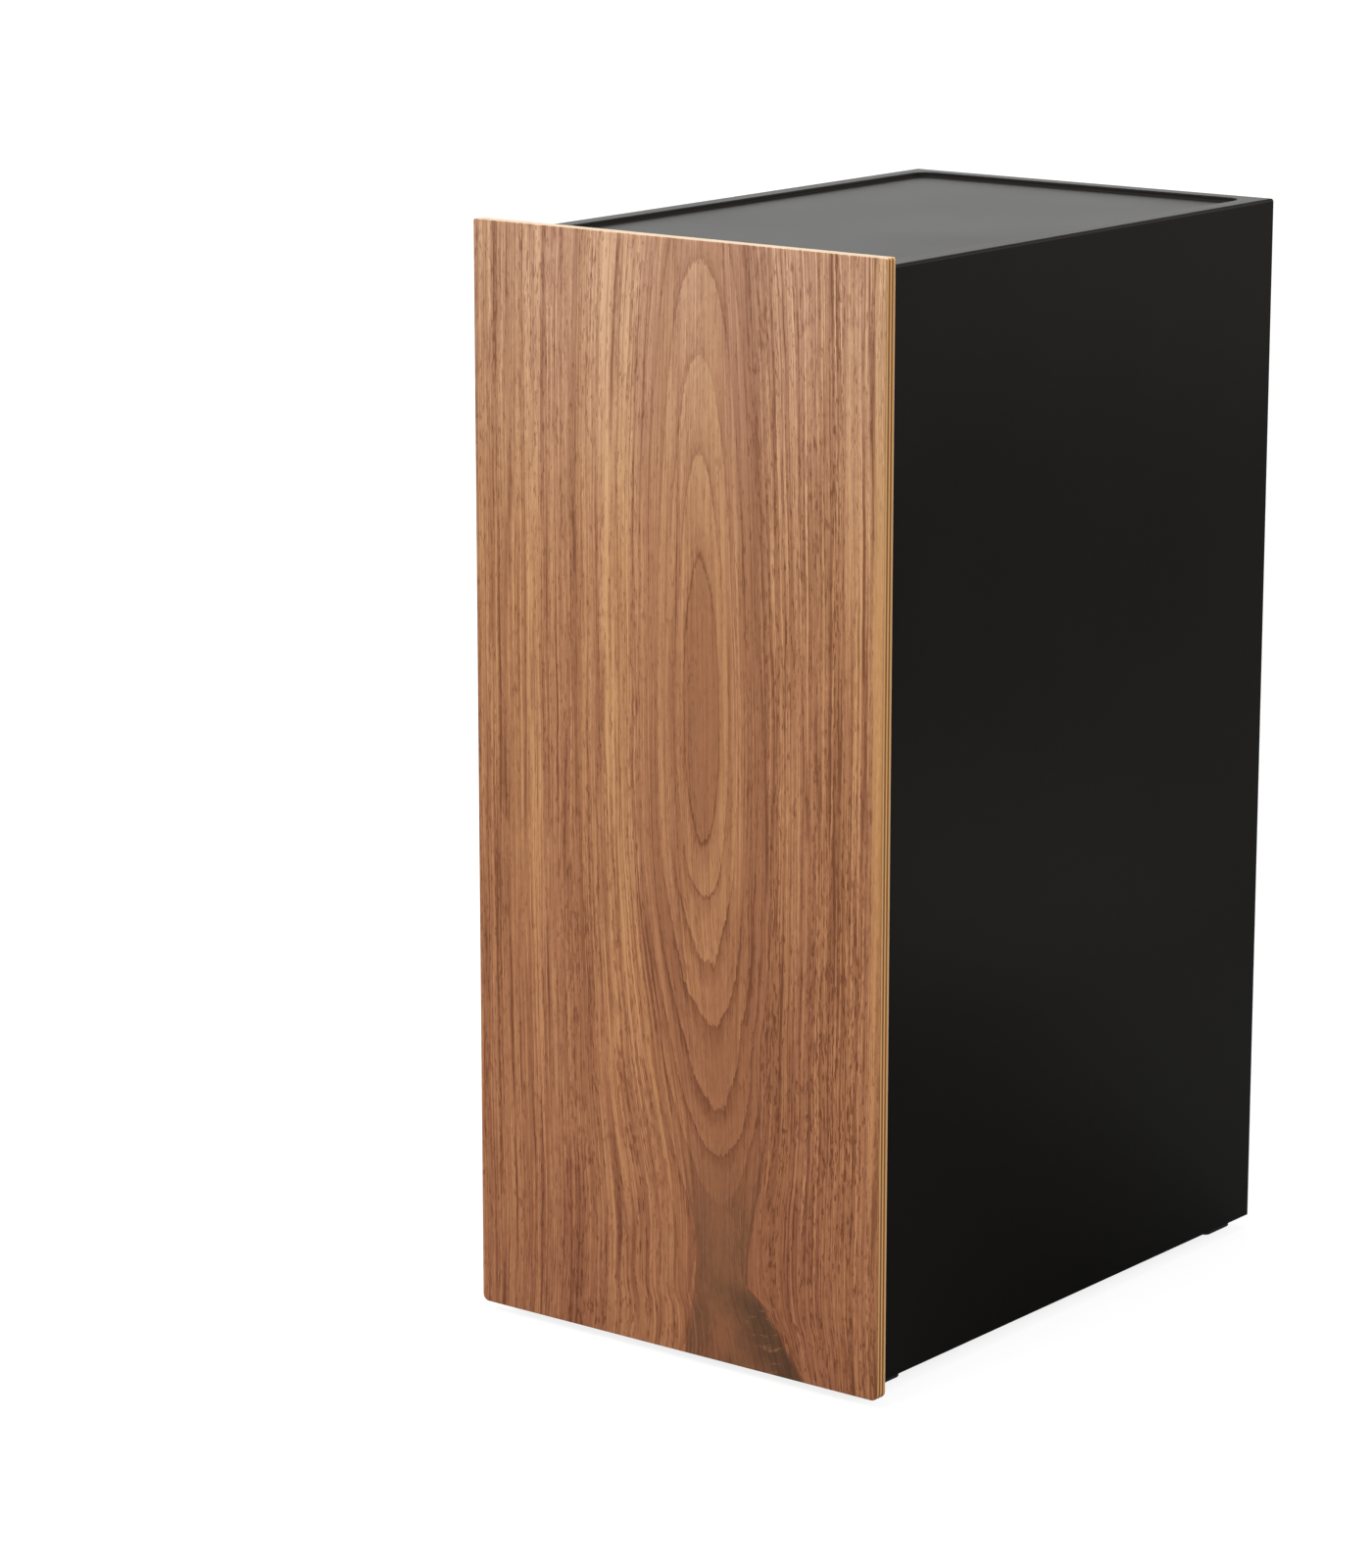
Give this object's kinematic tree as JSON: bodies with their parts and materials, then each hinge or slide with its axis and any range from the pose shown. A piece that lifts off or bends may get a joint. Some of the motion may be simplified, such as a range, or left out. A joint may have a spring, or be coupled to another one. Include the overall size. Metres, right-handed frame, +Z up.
{
  "type": "pull-out side cabinet",
  "caption": "Tall slim folded-steel side cabinet with a plywood front; its shelved carrier rolls out to the front on full-extension ball slides.",
  "frame": {"origin": "on the floor under the middle of the whole cabinet, plywood front included", "axes": "+Z up, +X to the right seen from the front, the plywood front faces -Y"},
  "size_m": [0.32, 0.459, 0.72],
  "materials": {
    "walnut_plywood": "open-pored walnut veneer with a thin matt lacquer, bare plywood edges",
    "black_powder_coat": "fine satin powder coat",
    "zinc_steel": "bright zinc plate",
    "black_nylon": "fine moulded texture",
    "soft_polymer": "soft grey, matt"
  },
  "bodies": {
    "case": {"back_panel": "black_powder_coat", "base_pan": "black_powder_coat", "bridge_front": "black_powder_coat", "bridge_rear": "black_powder_coat", "bumpers": "soft_polymer", "case_wrap": "black_powder_coat", "counterweight": "black_powder_coat", "foot_front_left": "black_nylon", "foot_front_right": "black_nylon", "foot_nuts": "zinc_steel", "foot_rear_left": "black_nylon", "foot_rear_right": "black_nylon", "lower_left_outer_rail": "zinc_steel", "lower_right_outer_rail": "zinc_steel", "post_front_left": "black_powder_coat", "post_front_right": "black_powder_coat", "post_rear_left": "black_powder_coat", "post_rear_right": "black_powder_coat", "slide_stops": "black_nylon", "upper_outer_rail": "zinc_steel"},
    "carrier": {"plywood_front": "walnut_plywood", "panel_screws": "zinc_steel", "front_plate": "black_powder_coat", "rear_plate": "black_powder_coat", "carrier_tray": "black_powder_coat", "top_rail": "black_powder_coat", "lower_shelf": "black_powder_coat", "upper_shelf": "black_powder_coat", "lower_left_inner_rail": "zinc_steel", "lower_right_inner_rail": "zinc_steel", "upper_inner_rail": "zinc_steel"},
    "lower_left_middle": {"lower_left_middle_rail": "zinc_steel"},
    "lower_left_outer_balls": {"lower_left_outer_cage": "zinc_steel"},
    "lower_left_inner_balls": {"lower_left_inner_cage": "zinc_steel"},
    "lower_right_middle": {"lower_right_middle_rail": "zinc_steel"},
    "lower_right_outer_balls": {"lower_right_outer_cage": "zinc_steel"},
    "lower_right_inner_balls": {"lower_right_inner_cage": "zinc_steel"},
    "upper_middle": {"upper_middle_rail": "zinc_steel"},
    "upper_outer_balls": {"upper_outer_cage": "zinc_steel"},
    "upper_inner_balls": {"upper_inner_cage": "zinc_steel"}
  },
  "joints": [
    {"name": "carrier_pull", "type": "slide", "parent": "case", "child": "carrier", "axis": [0, -1, 0], "range_m": [0, 0.4]},
    {"name": "lower_left_middle_run", "type": "slide", "parent": "case", "child": "lower_left_middle", "axis": [0, -1, 0], "range_m": [0, 0.2]},
    {"name": "lower_left_outer_balls_run", "type": "slide", "parent": "case", "child": "lower_left_outer_balls", "axis": [0, -1, 0], "range_m": [0, 0.1]},
    {"name": "lower_left_inner_balls_run", "type": "slide", "parent": "case", "child": "lower_left_inner_balls", "axis": [0, -1, 0], "range_m": [0, 0.3]},
    {"name": "lower_right_middle_run", "type": "slide", "parent": "case", "child": "lower_right_middle", "axis": [0, -1, 0], "range_m": [0, 0.2]},
    {"name": "lower_right_outer_balls_run", "type": "slide", "parent": "case", "child": "lower_right_outer_balls", "axis": [0, -1, 0], "range_m": [0, 0.1]},
    {"name": "lower_right_inner_balls_run", "type": "slide", "parent": "case", "child": "lower_right_inner_balls", "axis": [0, -1, 0], "range_m": [0, 0.3]},
    {"name": "upper_middle_run", "type": "slide", "parent": "case", "child": "upper_middle", "axis": [0, -1, 0], "range_m": [0, 0.2]},
    {"name": "upper_outer_balls_run", "type": "slide", "parent": "case", "child": "upper_outer_balls", "axis": [0, -1, 0], "range_m": [0, 0.1]},
    {"name": "upper_inner_balls_run", "type": "slide", "parent": "case", "child": "upper_inner_balls", "axis": [0, -1, 0], "range_m": [0, 0.3]}
  ],
  "couplings": [
    {"joint": "lower_left_middle_run", "follows": "carrier_pull", "ratio": 0.5},
    {"joint": "lower_left_outer_balls_run", "follows": "carrier_pull", "ratio": 0.25},
    {"joint": "lower_left_inner_balls_run", "follows": "carrier_pull", "ratio": 0.75},
    {"joint": "lower_right_middle_run", "follows": "carrier_pull", "ratio": 0.5},
    {"joint": "lower_right_outer_balls_run", "follows": "carrier_pull", "ratio": 0.25},
    {"joint": "lower_right_inner_balls_run", "follows": "carrier_pull", "ratio": 0.75},
    {"joint": "upper_middle_run", "follows": "carrier_pull", "ratio": 0.5},
    {"joint": "upper_outer_balls_run", "follows": "carrier_pull", "ratio": 0.25},
    {"joint": "upper_inner_balls_run", "follows": "carrier_pull", "ratio": 0.75}
  ]
}
